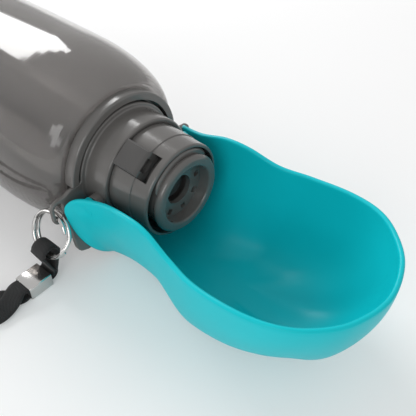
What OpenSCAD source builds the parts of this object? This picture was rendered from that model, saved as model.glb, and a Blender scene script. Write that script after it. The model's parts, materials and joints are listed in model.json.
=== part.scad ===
// Dog travel water bottle, lying on its side with the drinking bowl open.
// The origin is on the ground under the middle, +X runs along the bottle to the nozzle, +Z is up.

/* [Bottle] */
// Outside diameter of the bottle body
body_d = 76.4; // [72:0.2:80]
// Length from the base to the shelf under the shoulder ring
bottle_len = 210; // [190:0.2:240]
// Length of the rounded shoulder
shoulder_len = 34; // [28:1:40]
// Wall of the bottle
bottle_wall = 2; // [1.6:0.1:2.4]
// Depth of the dome pressed into the base
base_dome = 5; // [3:0.5:8]
// Outside diameter of the bottle neck
neck_d = 36; // [34:0.2:36.4]
// Length of the neck
neck_len = 12; // [11:0.2:14]
// Wall of the neck
neck_wall = 2.2; // [1.8:0.1:2.8]

/* [Shoulder ring] */
// Gap between the collar's flange and the shoulder ring's wall
ring_gap = 1; // [0.6:0.1:2]
// Height of the shoulder ring's wall along the bottle
ring_h = 4.8; // [4:0.2:5.6]
// Thickness of the shoulder ring's wall
ring_wall = 3; // [2.4:0.1:3.2]
// Thickness of the shoulder ring's foot
ring_foot = 1; // [0.8:0.1:1.2]

/* [Screw cap] */
// Radial room between the neck and the cap
neck_gap = 0.3; // [0.2:0.05:0.4]
// Wall of the cap's skirt
cap_wall = 1.9; // [1.5:0.1:2]
// Thickness of the gasket between neck and cap
seal_t = 1.2; // [0.8:0.1:1.6]
// Thickness of the cap's top plate
plate_t = 1.8; // [1.4:0.1:2.4]
// Bore of the water passage in the top plate
passage_d = 22; // [18:0.5:24]
// Width of the spokes that hold the valve post
spoke_w = 2.4; // [1.6:0.2:3]
// Length of the spigot that guides the nozzle
spigot_len = 8.4; // [7.6:0.2:9]
// Wall of the spigot
spigot_wall = 2; // [1.4:0.1:2.6]

/* [Sleeve and collar] */
// Outside diameter of the front sleeve
sleeve_d = 39; // [38.6:0.1:40]
// Wall of the front sleeve
sleeve_wall = 1.6; // [1.2:0.1:1.8]
// Length of the front sleeve that shows in front of the collar
sleeve_show = 18.1; // [17:0.1:20]
// Length of the sleeve's wider part, up to the parting step
sleeve_step = 10.3; // [9:0.1:11.5]
// Wall of the hinge collar over the cap's skirt
collar_wall = 1.2; // [0.9:0.1:2]
// How far the thin flange at the back of the collar stands out
flange_w = 2; // [1.4:0.1:3]
// Thickness of the collar's flange
flange_t = 1.3; // [1:0.1:1.6]

/* [Lock] */
// Length of the lock key
lock_len = 12; // [11:0.1:12.6]
// Width of the lock key
lock_w = 10.4; // [9:0.1:12]
// Height of the lock key's top over the sleeve
lock_rise = 2.5; // [1.7:0.1:3.2]
// Travel of the lock key
lock_travel = 2.6; // [2:0.1:3]
// Angle of the lock key round the cap, from +Y towards +Z
lock_angle = 125; // [90:1:150]

/* [Nozzle] */
// Radial gap between the front ring and the nozzle's barrel
nozzle_gap = 3.2; // [2.6:0.1:4]
// Height of the nozzle's rounded lip over the barrel
lip_rise = 1.2; // [0.6:0.1:1.8]
// Width of the rounded lip
lip_w = 3.6; // [3:0.1:4.4]
// Wall of the nozzle's barrel at its mouth
nozzle_wall = 2.9; // [2.4:0.1:3.4]
// How far the lip stands in front of the front ring when the nozzle is open
nozzle_out = 3.6; // [2.6:0.1:5]
// How far the nozzle screws in to close
nozzle_travel = 4; // [3:0.1:4.2]
// Radial running clearance of the nozzle and the seals
run_gap = 0.05; // [0.02:0.01:0.08]
// Diameter of the hole in the nozzle's insert
orifice_d = 12; // [9:0.1:13]
// Thickness of the nozzle's insert
insert_t = 2; // [1.4:0.1:2.4]
// Depth of the insert's back face behind the lip
insert_deep = 7; // [6:0.1:8.6]

/* [Bowl] */
// Length of the bowl from the hinge to its front end
bowl_reach = 108; // [96:1:116]
// Widest half width of the bowl
bowl_half = 34.4; // [33:0.1:38]
// Height of the bowl's back rim against the bottle axis
rim_low = -2.7; // [-3.4:0.1:-1]
// Height of the bowl's front rim against the bottle axis
rim_high = 7.3; // [5:0.1:12]
// Wall of the bowl
bowl_wall = 1.9; // [1.6:0.1:2.6]
// Height of the rim's round crest over the wall
rim_crest = 0.6; // [0.2:0.1:1]
// Room between the bowl's underside and the ground
bowl_lift = 0.2; // [0:0.1:2]

/* [Hinge] */
// Distance from the sleeve's back end to the hinge axis
hinge_back = 3.4; // [2.6:0.1:4]
// Height of the hinge axis against the bottle axis
hinge_z = -3; // [-4:0.1:-1]
// Diameter of the hinge pins
pin_d = 3; // [2.4:0.1:3.4]
// Length of the hinge pins
pin_len = 7.5; // [6.6:0.1:7.8]
// Radius of the collar's hinge stubs
stub_r = 3.2; // [2.8:0.1:3.6]
// Radius of the bowl's hinge bosses
boss_r = 4.6; // [4:0.1:5]
// Length of the hinge bosses inside the bowl's wall
boss_len = 2.8; // [2:0.1:3.4]
// Distance from the hinge axis to the bowl's back edge
ear_back = 7.1; // [6.6:0.1:7.4]

/* [Key ring and strap] */
// Thickness of the collar's ears
lug_t = 2.4; // [2:0.1:2.4]
// Distance from the bottle's side in to the middle of an ear's eye
lug_inset = 3.9; // [3:0.1:4.4]
// Outside diameter of the split ring
key_d = 20; // [19:0.5:23]
// Wire diameter of the split ring
wire_d = 1.6; // [1.4:0.1:1.8]
// Angle at which the split ring hangs outwards
key_tilt = 25; // [20:1:30]
// Width of the webbing
web_w = 8; // [6:0.5:8.5]
// Thickness of the webbing
web_t = 1.25; // [1:0.05:1.3]
// Length of the strap clamp
clamp_len = 10.4; // [8:0.1:11]
// Sheet thickness of the strap clamp
clamp_t = 0.6; // [0.4:0.05:0.8]

/* [Hidden] */
$fn = 96;
eps = 0.01;

body_r = body_d / 2;
neck_r = neck_d / 2;
bore_r = neck_r - neck_wall;
ground_z = -body_r;

// Places along the bottle, worked out from the base towards the nozzle
shelf_x = bottle_len;
neck_end_x = shelf_x + neck_len;
plate_x = neck_end_x + seal_t;
spigot_x = plate_x + plate_t;
sleeve_x = spigot_x + 0.1;
sleeve_end_x = spigot_x + 0.9 + sleeve_show;
collar_end_x = spigot_x + 0.9;
ring_front_x = shelf_x + ring_h;
lip_x = sleeve_end_x + nozzle_out;
skirt_x = shelf_x + ring_foot + 0.2;
flange_x = shelf_x + ring_foot + 0.2;
lug_x = flange_x;

hinge_x = spigot_x - hinge_back;
mid_x = (hinge_x + bowl_reach) / 2;

cap_in_r = neck_r + neck_gap;
cap_r = cap_in_r + cap_wall;
sleeve_r = sleeve_d / 2;
sleeve_in_r = sleeve_r - sleeve_wall;
barrel_r = sleeve_in_r - nozzle_gap;
lip_r = barrel_r + lip_rise;
mouth_r = barrel_r - nozzle_wall;
guide_r = barrel_r + run_gap;
spigot_r = guide_r + spigot_wall;
collar_in_r = cap_r + 0.1;
collar_r = max(collar_in_r, sleeve_r + 0.1) + collar_wall;
flange_r = collar_r + flange_w;
ring_r = flange_r + ring_gap + ring_wall;
lug_y = body_r - lug_inset;
edge_r = 0.8;

// Everything is modelled round the bottle's axis from the base, then laid on the ground
module laid() {
    translate([-mid_x, 0, -ground_z]) children();
}

module along_x(x = 0) {
    translate([x, 0, 0]) rotate([0, 90, 0]) children();
}

// A tube along X from x0 to x1
module tube_x(x0, x1, r_out, r_in) {
    along_x(x0) difference() {
        cylinder(h = x1 - x0, r = r_out);
        translate([0, 0, -1]) cylinder(h = x1 - x0 + 2, r = r_in);
    }
}

// Turns the children from +Z to the angle a, counted from +Y towards +Z
module at_angle(a) {
    rotate([a - 90, 0, 0]) children();
}

// A bar of length l with round ends of radius r, upright in the plane
module slot_2d(l, r) {
    square([2 * r, l], center = true);
    for (s = [-1, 1]) translate([0, s * l / 2]) circle(r = r, $fn = 48);
}

// Points on an arc
function arc(cx, cy, rx, ry, a0, a1, n) =
    [for (i = [0:n]) let (a = a0 + (a1 - a0) * i / n) [cx + rx * cos(a), cy + ry * sin(a)]];

// Bottle: blown body, rounded shoulder, domed base and plain neck
shoulder_foot_r = ring_r + 0.5;
base_edge_r = 7;
base_rim = 6;

function bottle_profile(t, foot_r, nr) = concat(
    [[0, base_dome + t]],
    arc(0, t, body_r - base_edge_r - base_rim, base_dome, 90, 0, 8),
    arc(body_r - base_edge_r, base_edge_r, base_edge_r - t, base_edge_r - t, 270, 360, 8),
    arc(foot_r, shelf_x - shoulder_len, body_r - t - foot_r, shoulder_len - t, 0, 90, 16),
    [[nr, shelf_x - t]]);

module bottle() {
    color([0.36, 0.36, 0.37, 0.6]) laid() along_x() difference() {
        rotate_extrude($fn = 128) union() {
            polygon(concat(bottle_profile(0, shoulder_foot_r, neck_r), [[0, shelf_x]]));
            translate([0, shelf_x - eps]) square([neck_r, neck_len + eps]);
        }
        rotate_extrude($fn = 128) union() {
            polygon(concat(bottle_profile(bottle_wall, shoulder_foot_r - 2, bore_r),
                [[0, shelf_x - bottle_wall]]));
            translate([0, shelf_x - bottle_wall - eps]) square([bore_r, neck_len + bottle_wall + 1]);
        }
    }
}

// Ring that sits on the bottle's shelf round the cap, with notches for the collar's ears
notch_top = 0.7;

module shoulder_ring() {
    color([0.34, 0.33, 0.33]) laid() difference() {
        along_x() rotate_extrude($fn = 128) polygon(concat(
            [[neck_r + 0.2, shelf_x], [ring_r - edge_r, shelf_x]],
            arc(ring_r - edge_r, shelf_x + edge_r, edge_r, edge_r, 270, 360, 4),
            arc(ring_r - edge_r, ring_front_x - edge_r, edge_r, edge_r, 0, 90, 4),
            [[ring_r - ring_wall, ring_front_x], [ring_r - ring_wall, shelf_x + ring_foot],
            [neck_r + 0.2, shelf_x + ring_foot]]));
        translate([flange_x - 0.1, -ring_r - 1, arm_low - 0.1])
            cube([ring_h, 2 * ring_r + 2, arm_top + notch_top - arm_low + 0.1]);
    }
}

module neck_seal() {
    color([0.85, 0.85, 0.83]) laid() tube_x(neck_end_x, plate_x, neck_r, bore_r);
}

// Cap with the female thread's skirt, spoked water passage and nozzle guide
hub_r = 3.6;
post_r = 2.5;

module screw_cap() {
    color([0.3, 0.3, 0.3]) laid() difference() {
        union() {
            tube_x(skirt_x, spigot_x, cap_r, cap_in_r);
            tube_x(plate_x, spigot_x, cap_r, passage_d / 2);
            tube_x(spigot_x - eps, spigot_x + spigot_len, spigot_r, guide_r);
            along_x(plate_x) cylinder(h = plate_t, r = hub_r);
            for (i = [0:2]) rotate([i * 120, 0, 0])
                translate([plate_x, -spoke_w / 2, 0]) cube([plate_t, spoke_w, passage_d / 2 + 1]);
        }
        along_x(plate_x - 1) cylinder(h = plate_t + 2, r = post_r);
    }
}

// Front sleeve and front ring: a stepped shroud round the nozzle that parts at the step.
// The sleeve's tongue carries the ring, and the lock key's window runs through both
window_x = collar_end_x + 0.1;
window_w = lock_w + 0.3;
window_len = lock_len + lock_travel + 0.7;
part_x = collar_end_x + sleeve_step;
tongue_len = 2;
tongue_r = sleeve_in_r + sleeve_wall / 2;
ring_step = 0.35;

module lock_window() {
    at_angle(lock_angle) translate([window_x, -window_w / 2, spigot_r / 2])
        cube([window_len, window_w, sleeve_r]);
}

module front_sleeve() {
    color([0.43, 0.42, 0.41]) laid() difference() {
        along_x() rotate_extrude($fn = 128) polygon([
            [sleeve_in_r, sleeve_x], [sleeve_r, sleeve_x],
            [sleeve_r, part_x - 0.3], [sleeve_r - 0.3, part_x], [tongue_r, part_x],
            [tongue_r, part_x + tongue_len], [sleeve_in_r, part_x + tongue_len]]);
        lock_window();
    }
}

module front_ring() {
    color([0.4, 0.39, 0.38]) laid() difference() {
        along_x() rotate_extrude($fn = 128) polygon(concat(
            [[sleeve_in_r, part_x + tongue_len + 0.1], [tongue_r + 0.05, part_x + tongue_len + 0.1],
            [tongue_r + 0.05, part_x + 0.05], [sleeve_r - ring_step, part_x + 0.05]],
            arc(sleeve_r - ring_step - edge_r, sleeve_end_x - edge_r, edge_r, edge_r, 0, 90, 5),
            [[sleeve_in_r, sleeve_end_x]]));
        lock_window();
    }
}

// Lock key: slides forwards in the window; its foot holds it from inside.
// Its top is rounded at the front and chamfered all round, with a hollow in the front face
lock_x = window_x + 0.15;
lock_front_x = lock_x + lock_len;
lock_top = sleeve_r + lock_rise;
lock_edge = 0.7;
lock_nose = 1.6;
foot_back_x = spigot_x + spigot_len + 0.2;
foot_len = 3;
foot_w = lock_w + 4;
foot_r = sleeve_in_r - 0.25;
foot_in_r = lip_r + 0.3;

module lock_side_2d() {
    polygon(concat([[lock_x, foot_in_r - 1], [lock_front_x, foot_in_r - 1]],
        arc(lock_front_x - lock_nose, lock_top - lock_nose, lock_nose, lock_nose, 0, 90, 6),
        [[lock_x + lock_edge, lock_top], [lock_x, lock_top - lock_edge]]));
}

module lock_end_2d() {
    half = lock_w / 2;
    polygon([[-half, foot_in_r - 1], [half, foot_in_r - 1], [half, lock_top - lock_edge],
        [half - lock_edge, lock_top], [lock_edge - half, lock_top], [-half, lock_top - lock_edge]]);
}

module lock_key() {
    color([0.27, 0.27, 0.27]) laid() at_angle(lock_angle) union() {
        difference() {
            intersection() {
                translate([0, lock_w / 2, 0]) rotate([90, 0, 0]) linear_extrude(lock_w) lock_side_2d();
                translate([lock_x, 0, 0]) rotate([90, 0, 90]) linear_extrude(lock_len) lock_end_2d();
            }
            along_x(window_x - 1) cylinder(h = foot_back_x - window_x + 1, r = spigot_r + 0.15);
            along_x(window_x - 1) cylinder(h = lock_len + 3, r = foot_in_r);
            translate([lock_front_x - lock_nose, -lock_w / 4, sleeve_r - sleeve_wall])
                cube([lock_nose + 1, lock_w / 2, sleeve_wall + lock_rise - lock_nose / 2]);
        }
        intersection() {
            tube_x(foot_back_x, foot_back_x + foot_len, foot_r, foot_in_r);
            translate([foot_back_x - 1, -foot_w / 2, foot_in_r / 2])
                cube([foot_len + 2, foot_w, foot_r]);
        }
    }
}

// Hinge collar: outer shell of the cap with the flange, hinge stubs, ears and bowl stop
hinge_half = 0.857 * bowl_half;
boss_in_y = hinge_half - bowl_wall - boss_len;
stub_end_y = boss_in_y - 0.3;
pin_out_y = hinge_half - 1.5;
pin_in_y = pin_out_y - pin_len;
lug_eye_r = 2.2;
lug_eye_len = 4.7;
lug_limb = 1.9;
lug_eye_z = -5.6;
arm_top = 1.9;
arm_fillet = 3;
arm_low = -6;
stop_gap = 0.3;
stop_t = 2;
stop_top = -9;
stop_low = -26.5;
stop_half = 0.96 * bowl_half;
stop_corner = 4;

// An ear's outline: the flange's edge runs on through a fillet into the arm and round the eye
fillet_z = arm_top + arm_fillet;
fillet_y = sqrt(pow(flange_r + arm_fillet, 2) - pow(fillet_z, 2));

module lug_2d() {
    difference() {
        union() {
            translate([lug_y, lug_eye_z]) slot_2d(lug_eye_len, lug_eye_r + lug_limb);
            polygon(concat([[collar_in_r, arm_low], [collar_in_r, fillet_z / 2]],
                arc(fillet_y, fillet_z, arm_fillet, arm_fillet, 180 + atan(fillet_z / fillet_y), 270, 6),
                [[lug_y, lug_eye_z + lug_eye_len / 2 + lug_eye_r + lug_limb], [lug_y, arm_low]]));
        }
        translate([lug_y, lug_eye_z]) slot_2d(lug_eye_len, lug_eye_r);
    }
}

module lug() {
    translate([lug_x, 0, 0]) rotate([90, 0, 90]) linear_extrude(lug_t) lug_2d();
}

// Apron behind the open bowl: it stops the bowl and closes its back
module bowl_stop() {
    difference() {
        translate([rear_x - stop_gap, 0, rim_low]) rotate([0, -atan(rear_lean), 0])
            rotate([90, 0, 90]) mirror([0, 0, 1]) linear_extrude(stop_t) apron_2d();
        tube_x(flange_x, ring_front_x + 0.1, ring_r + 0.1, ring_r - ring_wall - 0.1);
    }
}

module apron_2d() {
    difference() {
        polygon([for (i = [0:32]) let (a = 180 * i / 32)
            [rear_w * fold_cos(a), -rear_depth * pow(sin(a), drop_pow)]]);
        translate([-bowl_half, stop_top - rim_low]) square([2 * bowl_half, rim_low - stop_top + 1]);
    }
    for (s = [0, 1]) mirror([s, 0]) polygon(concat(
        [[0, stop_top - rim_low], [0, stop_low - rim_low]],
        arc(stop_half - stop_corner, stop_low - rim_low + stop_corner,
            stop_corner, stop_corner, 270, 360, 6),
        arc(stop_half - stop_corner, stop_top - rim_low - stop_corner,
            stop_corner, stop_corner, 0, 90, 6)));
}

function fold_cos(a) = sign(cos(a)) * pow(abs(cos(a)), rear_power);

module hinge_collar() {
    color([0.4, 0.39, 0.38]) laid() difference() {
        union() {
            along_x() rotate_extrude($fn = 128) polygon(concat(
                [[collar_in_r, flange_x], [flange_r - 0.5, flange_x],
                [flange_r, flange_x + 0.5], [flange_r, flange_x + flange_t - 0.4]],
                arc(flange_r, flange_x + flange_t + 1.2, flange_w / 2, 1.2, 270, 180, 5),
                arc(collar_r - edge_r, collar_end_x - edge_r, edge_r, edge_r, 0, 90, 5),
                [[sleeve_r + 0.1, collar_end_x], [sleeve_r + 0.1, spigot_x + 0.1],
                [collar_in_r, spigot_x + 0.1]]));
            for (s = [0, 1]) mirror([0, s, 0]) {
                translate([hinge_x, -collar_in_r, hinge_z]) rotate([90, 0, 0])
                    cylinder(h = stub_end_y - collar_in_r, r = stub_r);
                mirror([0, 1, 0]) lug();
            }
            bowl_stop();
        }
        along_x(shelf_x - ring_h) cylinder(h = spigot_x + 0.1 - shelf_x + ring_h, r = collar_in_r);
        along_x(spigot_x - 1) cylinder(h = 3, r = sleeve_r + 0.1);
        for (s = [-1, 1]) translate([hinge_x, s * (collar_in_r - 1), hinge_z]) rotate([-90 * s, 0, 0])
            cylinder(h = stub_end_y, r = pin_d / 2);
    }
}

// Nozzle: thick tube with a rounded lip, drawn open
tail_x = spigot_x + nozzle_travel + 0.2;
groove_w = 1.4;
o_ring_t = 1.2;
groove_x = spigot_x + spigot_len - 2.1;
bead_r = lip_w / 2;
shank_in_r = mouth_r - 1;
insert_x = lip_x - insert_deep;

module nozzle() {
    color([0.45, 0.44, 0.43]) laid() difference() {
        along_x() rotate_extrude($fn = 128) polygon(concat(
            [[shank_in_r, tail_x], [barrel_r, tail_x], [barrel_r, lip_x - lip_w - 0.6]],
            arc(lip_r - bead_r, lip_x - bead_r, bead_r, bead_r, -50, 90, 8),
            arc(mouth_r + 1, lip_x - 1, 1, 1, 90, 180, 5),
            [[mouth_r, insert_x], [shank_in_r, insert_x]]));
        tube_x(groove_x, groove_x + groove_w, barrel_r + 1, barrel_r - o_ring_t);
    }
}

// Insert screwed into the mouth, with square spanner notches
notch_n = 8;
notch_w = 2.2;

module nozzle_insert() {
    color([0.4, 0.39, 0.38]) laid() difference() {
        tube_x(insert_x, insert_x + insert_t, mouth_r - 0.03, orifice_d / 2);
        for (i = [0:notch_n - 1]) rotate([i * 360 / notch_n + 10, 0, 0])
            translate([insert_x + 0.6, -notch_w / 2, mouth_r - 1.5 * notch_w])
            cube([insert_t, notch_w, notch_w]);
    }
}

module nozzle_o_ring() {
    color([0.12, 0.12, 0.12]) laid() translate([groove_x + groove_w / 2, 0, 0]) rotate([0, 90, 0])
        rotate_extrude($fn = 96) translate([barrel_r - o_ring_t / 2 + 0.01, 0])
        circle(d = o_ring_t - 0.04, $fn = 24);
}

// Valve post: stem pressed into the cap's hub, with the plug that meets the orifice
plug_r = orifice_d / 2 - 0.4;
plug_len = 2.8;
plug_front_x = insert_x - nozzle_travel + insert_t;
plug_groove = 1;
post_back_x = plate_x - 2;

module valve_post() {
    color([0.36, 0.35, 0.35]) laid() difference() {
        union() {
            along_x(plate_x) cylinder(h = plug_front_x - plate_x - 0.5, r = post_r);
            along_x(post_back_x) cylinder(h = 2, r = post_r + 1.2);
            along_x(plug_front_x - plug_len) cylinder(h = plug_len, r = plug_r);
        }
        tube_x(plug_front_x - 1.9, plug_front_x - 1.9 + plug_groove, plug_r + 1, plug_r - 0.7);
    }
}

module plug_seal() {
    color([0.12, 0.12, 0.12]) laid() tube_x(plug_front_x - 1.88, plug_front_x - 1.92 + plug_groove,
        plug_r + 0.25, plug_r - 0.68);
}

// Hinge pins: pressed into the collar's stubs, running in the bowl's bosses
pin_room = 0.05;

module hinge_pin(s) {
    color([0.75, 0.75, 0.75]) laid() translate([hinge_x, s * pin_in_y, hinge_z])
        rotate([-90 * s, 0, 0]) cylinder(h = pin_len, r = pin_d / 2, $fn = 48);
}

module hinge_pin_near() hinge_pin(-1);
module hinge_pin_far() hinge_pin(1);

// Bowl: leaf-shaped shell whose rim follows a smooth curve through these knots
// [share of the reach in front of the hinge, or of ear_back behind it,
// share of the widest half width, share of the rim's rise, wall's power: a low one is fuller]
rim_knots = [for (q = [[-1, 0.965, 0, 0.65], [-0.3, 0.87, 0.3, 0.65], [0.08, 0.805, 0.62, 0.65],
    [0.19, 0.83, 0.96, 0.71], [0.29, 0.85, 1, 0.64], [0.41, 0.91, 0.68, 0.35],
    [0.53, 0.985, 0.69, 0.44], [0.68, 0.995, 0.88, 0.59], [0.8, 0.92, 1, 0.73],
    [0.89, 0.74, 1, 0.73], [0.965, 0.44, 1, 0.52], [1, 0, 1, 0.52]])
    [hinge_x + q[0] * (q[0] < 0 ? ear_back : bowl_reach), -q[1] * bowl_half,
        rim_low + q[2] * (rim_high - rim_low), q[3]]];
rim_last = len(rim_knots) - 1;
rear_x = hinge_x - ear_back;
rear_ease = 8;
rear_lean = 0.2;
drop_pow = 1.1;
keel_end = 0.4;
bowl_n = 4;
bowl_m = 9;
rear_w = -rim_knots[0][1];
rear_power = rim_knots[0][3];
rear_depth = rim_low - ground_z - bowl_lift;

// Smooth curve through the knots; the mirrored knot past the front end keeps it round
function knot(i) = i < 0 ? 2 * rim_knots[0] - rim_knots[1]
    : i <= rim_last ? rim_knots[i]
    : let (k = rim_knots[2 * rim_last - i]) [k[0], -k[1], k[2], k[3]];
function blend(a, b, c, d, t) = 0.5 * ((2 * b) + (c - a) * t + (2 * a - 5 * b + 4 * c - d) * t * t
    + (3 * b - a - 3 * c + d) * t * t * t);
near_rim = [for (i = [0:rim_last - 1]) for (j = [0:bowl_n - 1])
    blend(knot(i - 1), knot(i), knot(i + 1), knot(i + 2), j / bowl_n)];
far_side = [for (i = [len(near_rim) - 1:-1:0]) let (k = near_rim[i]) [k[0], -k[1], k[2], k[3]]];
rim = concat(near_rim, [rim_knots[rim_last]], far_side);
rim_n = len(rim);

function flat_normal(i) = let (
    a = rim[max(0, i - 1)],
    b = rim[min(rim_n - 1, i + 1)],
    t = [b[0] - a[0], b[1] - a[1]]) [t[1], -t[0], 0] / norm(t);

// One point of the skin: i runs along the rim, j from the rim down to the floor
function skin_point(i, j, wall) = let (
    a = 84 * j / bowl_m,
    n = flat_normal(i),
    p = rim[i] - wall * [n[0] * min(1, (rim[i][0] - rear_x) / rear_ease), n[1], 0, 0],
    kx = min(p[0], hinge_x + keel_end * bowl_reach),
    kz = ground_z + bowl_lift + wall,
    side = pow(cos(a), p[3]),
    drop = j == bowl_m ? 1 : pow(sin(a) / sin(84), drop_pow),
    z = p[2] + (kz - p[2]) * drop,
    lean = rear_lean * (rim_low - z) * max(0, 1 - (p[0] - rear_x) / (0.3 * bowl_reach)))
    [kx + (p[0] - kx) * side + max(0, lean), p[1] * side, z];

function skin(wall) = [for (j = [0:bowl_m]) for (i = [0:rim_n - 1]) skin_point(i, j, wall)];
skin_n = rim_n * (bowl_m + 1);
function at(s, i, j) = s * skin_n + j * rim_n + i;
function crest(i) = 2 * skin_n + i;
crest_row = [for (i = [0:rim_n - 1])
    (skin_point(i, 0, 0) + skin_point(i, 0, bowl_wall)) / 2 + [0, 0, rim_crest]];

bowl_faces = concat(
    [for (s = [0, 1]) for (j = [0:bowl_m - 1]) for (i = [0:rim_n - 2])
        let (f = [at(s, i, j), at(s, i + 1, j), at(s, i + 1, j + 1), at(s, i, j + 1)])
        for (k = [0, 1]) let (t = k == 0 ? [f[0], f[1], f[2]] : [f[0], f[2], f[3]])
        s == 0 ? t : [t[2], t[1], t[0]]],
    [for (s = [0, 1]) for (i = [0:(rim_n - 1) / 2 - 1])
        let (f = [at(s, i, bowl_m), at(s, i + 1, bowl_m), at(s, rim_n - 2 - i, bowl_m),
            at(s, rim_n - 1 - i, bowl_m)])
        for (k = [0, 1]) let (t = k == 0 ? [f[0], f[1], f[3]] : [f[1], f[2], f[3]])
        if (f[1] != f[2] || k == 0) s == 0 ? t : [t[2], t[1], t[0]]],
    [for (i = [0:rim_n - 2]) for (k = [0:3])
        k == 0 ? [at(0, i + 1, 0), at(0, i, 0), crest(i)]
        : k == 1 ? [at(0, i + 1, 0), crest(i), crest(i + 1)]
        : k == 2 ? [crest(i + 1), crest(i), at(1, i, 0)]
        : [crest(i + 1), at(1, i, 0), at(1, i + 1, 0)]],
    [[crest(0), at(0, 0, 0), at(1, 0, 0)],
    [at(0, rim_n - 1, 0), crest(rim_n - 1), at(1, rim_n - 1, 0)]],
    [for (j = [0:bowl_m - 1]) for (e = [0, 1]) for (k = [0, 1])
        let (i = e == 0 ? 0 : rim_n - 1,
            t = k == 0 ? [at(0, i, j), at(0, i, j + 1), at(1, i, j + 1)]
            : [at(0, i, j), at(1, i, j + 1), at(1, i, j)])
        e == 0 ? t : [t[2], t[1], t[0]]],
    [[at(0, 0, bowl_m), at(0, rim_n - 1, bowl_m), at(1, rim_n - 1, bowl_m)],
    [at(0, 0, bowl_m), at(1, rim_n - 1, bowl_m), at(1, 0, bowl_m)]]);

boss_out_y = pin_out_y + 0.4;

module bowl() {
    color([0, 0.72, 0.76]) laid() difference() {
        union() {
            polyhedron(points = concat(skin(0), skin(bowl_wall), crest_row), faces = bowl_faces);
            for (s = [-1, 1]) translate([hinge_x, s * boss_in_y, hinge_z]) rotate([-90 * s, 0, 0])
                cylinder(h = boss_out_y - boss_in_y, r = boss_r);
        }
        for (s = [-1, 1]) translate([hinge_x, s * (boss_in_y - 1), hinge_z]) rotate([-90 * s, 0, 0])
            cylinder(h = pin_out_y + 0.2 - boss_in_y + 1, r = pin_d / 2 + pin_room);
    }
}

// Split ring: one wire wound almost twice, hanging in the near ear's eye
key_r = key_d / 2 - wire_d / 2;
key_side = 2;
turn_gap = 0.45;
key_hang = [lug_x + lug_t / 2, -lug_y, lug_eye_z - lug_eye_len / 2];
key_down = [0, -sin(key_tilt), -cos(key_tilt)];
key_normal = [0, -cos(key_tilt), sin(key_tilt)];
key_centre = key_hang + [-key_side, 0, 0] + sqrt(key_r * key_r - key_side * key_side) * key_down;
key_start = 118;
key_sweep = 664;
key_count = 46;
wire_sides = 6;

// The wire steps from the first turn to the second where neither end lies
function key_step(a) = let (s = min(1, max(0, (a - 312) / 44))) s * s * (3 - 2 * s) - 0.5;
function key_dir(a) = sin(a + key_start) * [1, 0, 0] - cos(a + key_start) * key_down;
function key_point(k) = let (a = key_sweep * k / key_count) key_centre
    + key_r * key_dir(a) + (wire_d + turn_gap) * key_step(a) * key_normal;
function key_ring(k) = let (d = key_dir(key_sweep * k / key_count))
    [for (q = [0:wire_sides - 1]) let (b = 360 * q / wire_sides)
        key_point(k) + wire_d / 2 * (cos(b) * d + sin(b) * key_normal)];
key_gap = min([for (k = [0:key_count]) for (q = [0:key_count])
    if (abs(k - q) > key_count / 4) norm(key_point(k) - key_point(q))]) - wire_d;
echo(str("Split ring, least gap between its turns: ", key_gap, " mm"));

// Sweeps a closed tube through equal rings of points
function tube_faces(n, m) = concat(
    [for (k = [0:n - 2]) for (q = [0:m - 1]) for (h = [0, 1]) let (
        a = k * m + q,
        b = k * m + (q + 1) % m)
        h == 0 ? [a, b, b + m] : [a, b + m, a + m]],
    [for (q = [1:m - 2]) [0, q + 1, q]],
    [for (q = [1:m - 2]) [(n - 1) * m, (n - 1) * m + q, (n - 1) * m + q + 1]]);

module split_ring() {
    color([0.8, 0.8, 0.8]) laid() polyhedron(
        points = [for (k = [0:key_count]) for (p = key_ring(k)) p],
        faces = tube_faces(key_count + 1, wire_sides));
}

// Strap: webbing folded round the split ring, bent down into a metal clamp on the ground
strap_x = key_centre[0] - 1.2;
eye_r = 3;
eye_rise = 0.65;
bend_r = 2.6;
eye_y = key_centre[1] + (key_r - eye_rise) * key_down[1];
eye_z = key_centre[2] + (key_r - eye_rise) * key_down[2];
clamp_in = 2 * web_t + 0.1;
clamp_half = clamp_in + clamp_t;
clamp_z = ground_z + clamp_half;
bend_drop = eye_z - clamp_z - bend_r;
clamp_start = bend_r + 0.3;
clamp_end = clamp_start + clamp_len;

// Frame of the strap: x outwards from the bottle, y upwards, z across the webbing
module strap_frame() {
    translate([strap_x + web_w / 2, eye_y, eye_z]) rotate([90, 0, -90]) children();
}

module strap_eye() {
    color([0.05, 0.05, 0.05]) laid() strap_frame() linear_extrude(web_w) union() {
        difference() {
            union() {
                circle(r = eye_r + web_t, $fn = 48);
                polygon([[eye_r + web_t, 0], [-eye_r - web_t, 0], [-web_t, -bend_drop],
                    [web_t, -bend_drop]]);
            }
            circle(r = eye_r, $fn = 48);
            polygon([[eye_r, 0], [-eye_r, 0], [0, web_t - 0.35 - bend_drop]]);
        }
        polygon(concat(arc(bend_r, -bend_drop, bend_r + web_t, bend_r + web_t, 180, 270, 8),
            [[clamp_end, -bend_drop - bend_r - web_t], [clamp_end, -bend_drop - bend_r + web_t]],
            arc(bend_r, -bend_drop, bend_r - web_t, bend_r - web_t, 270, 180, 8)));
    }
}

module strap_clamp() {
    color([0.8, 0.8, 0.8]) laid() strap_frame() translate([0, -bend_drop - bend_r, -0.1 - clamp_t])
        difference() {
            translate([clamp_start, -clamp_half])
                cube([clamp_len, 2 * clamp_half, web_w + 0.2 + 2 * clamp_t]);
            translate([clamp_start - 1, -clamp_in, clamp_t])
                cube([clamp_len + 2, 2 * clamp_in, web_w + 0.2]);
        }
}

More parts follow.
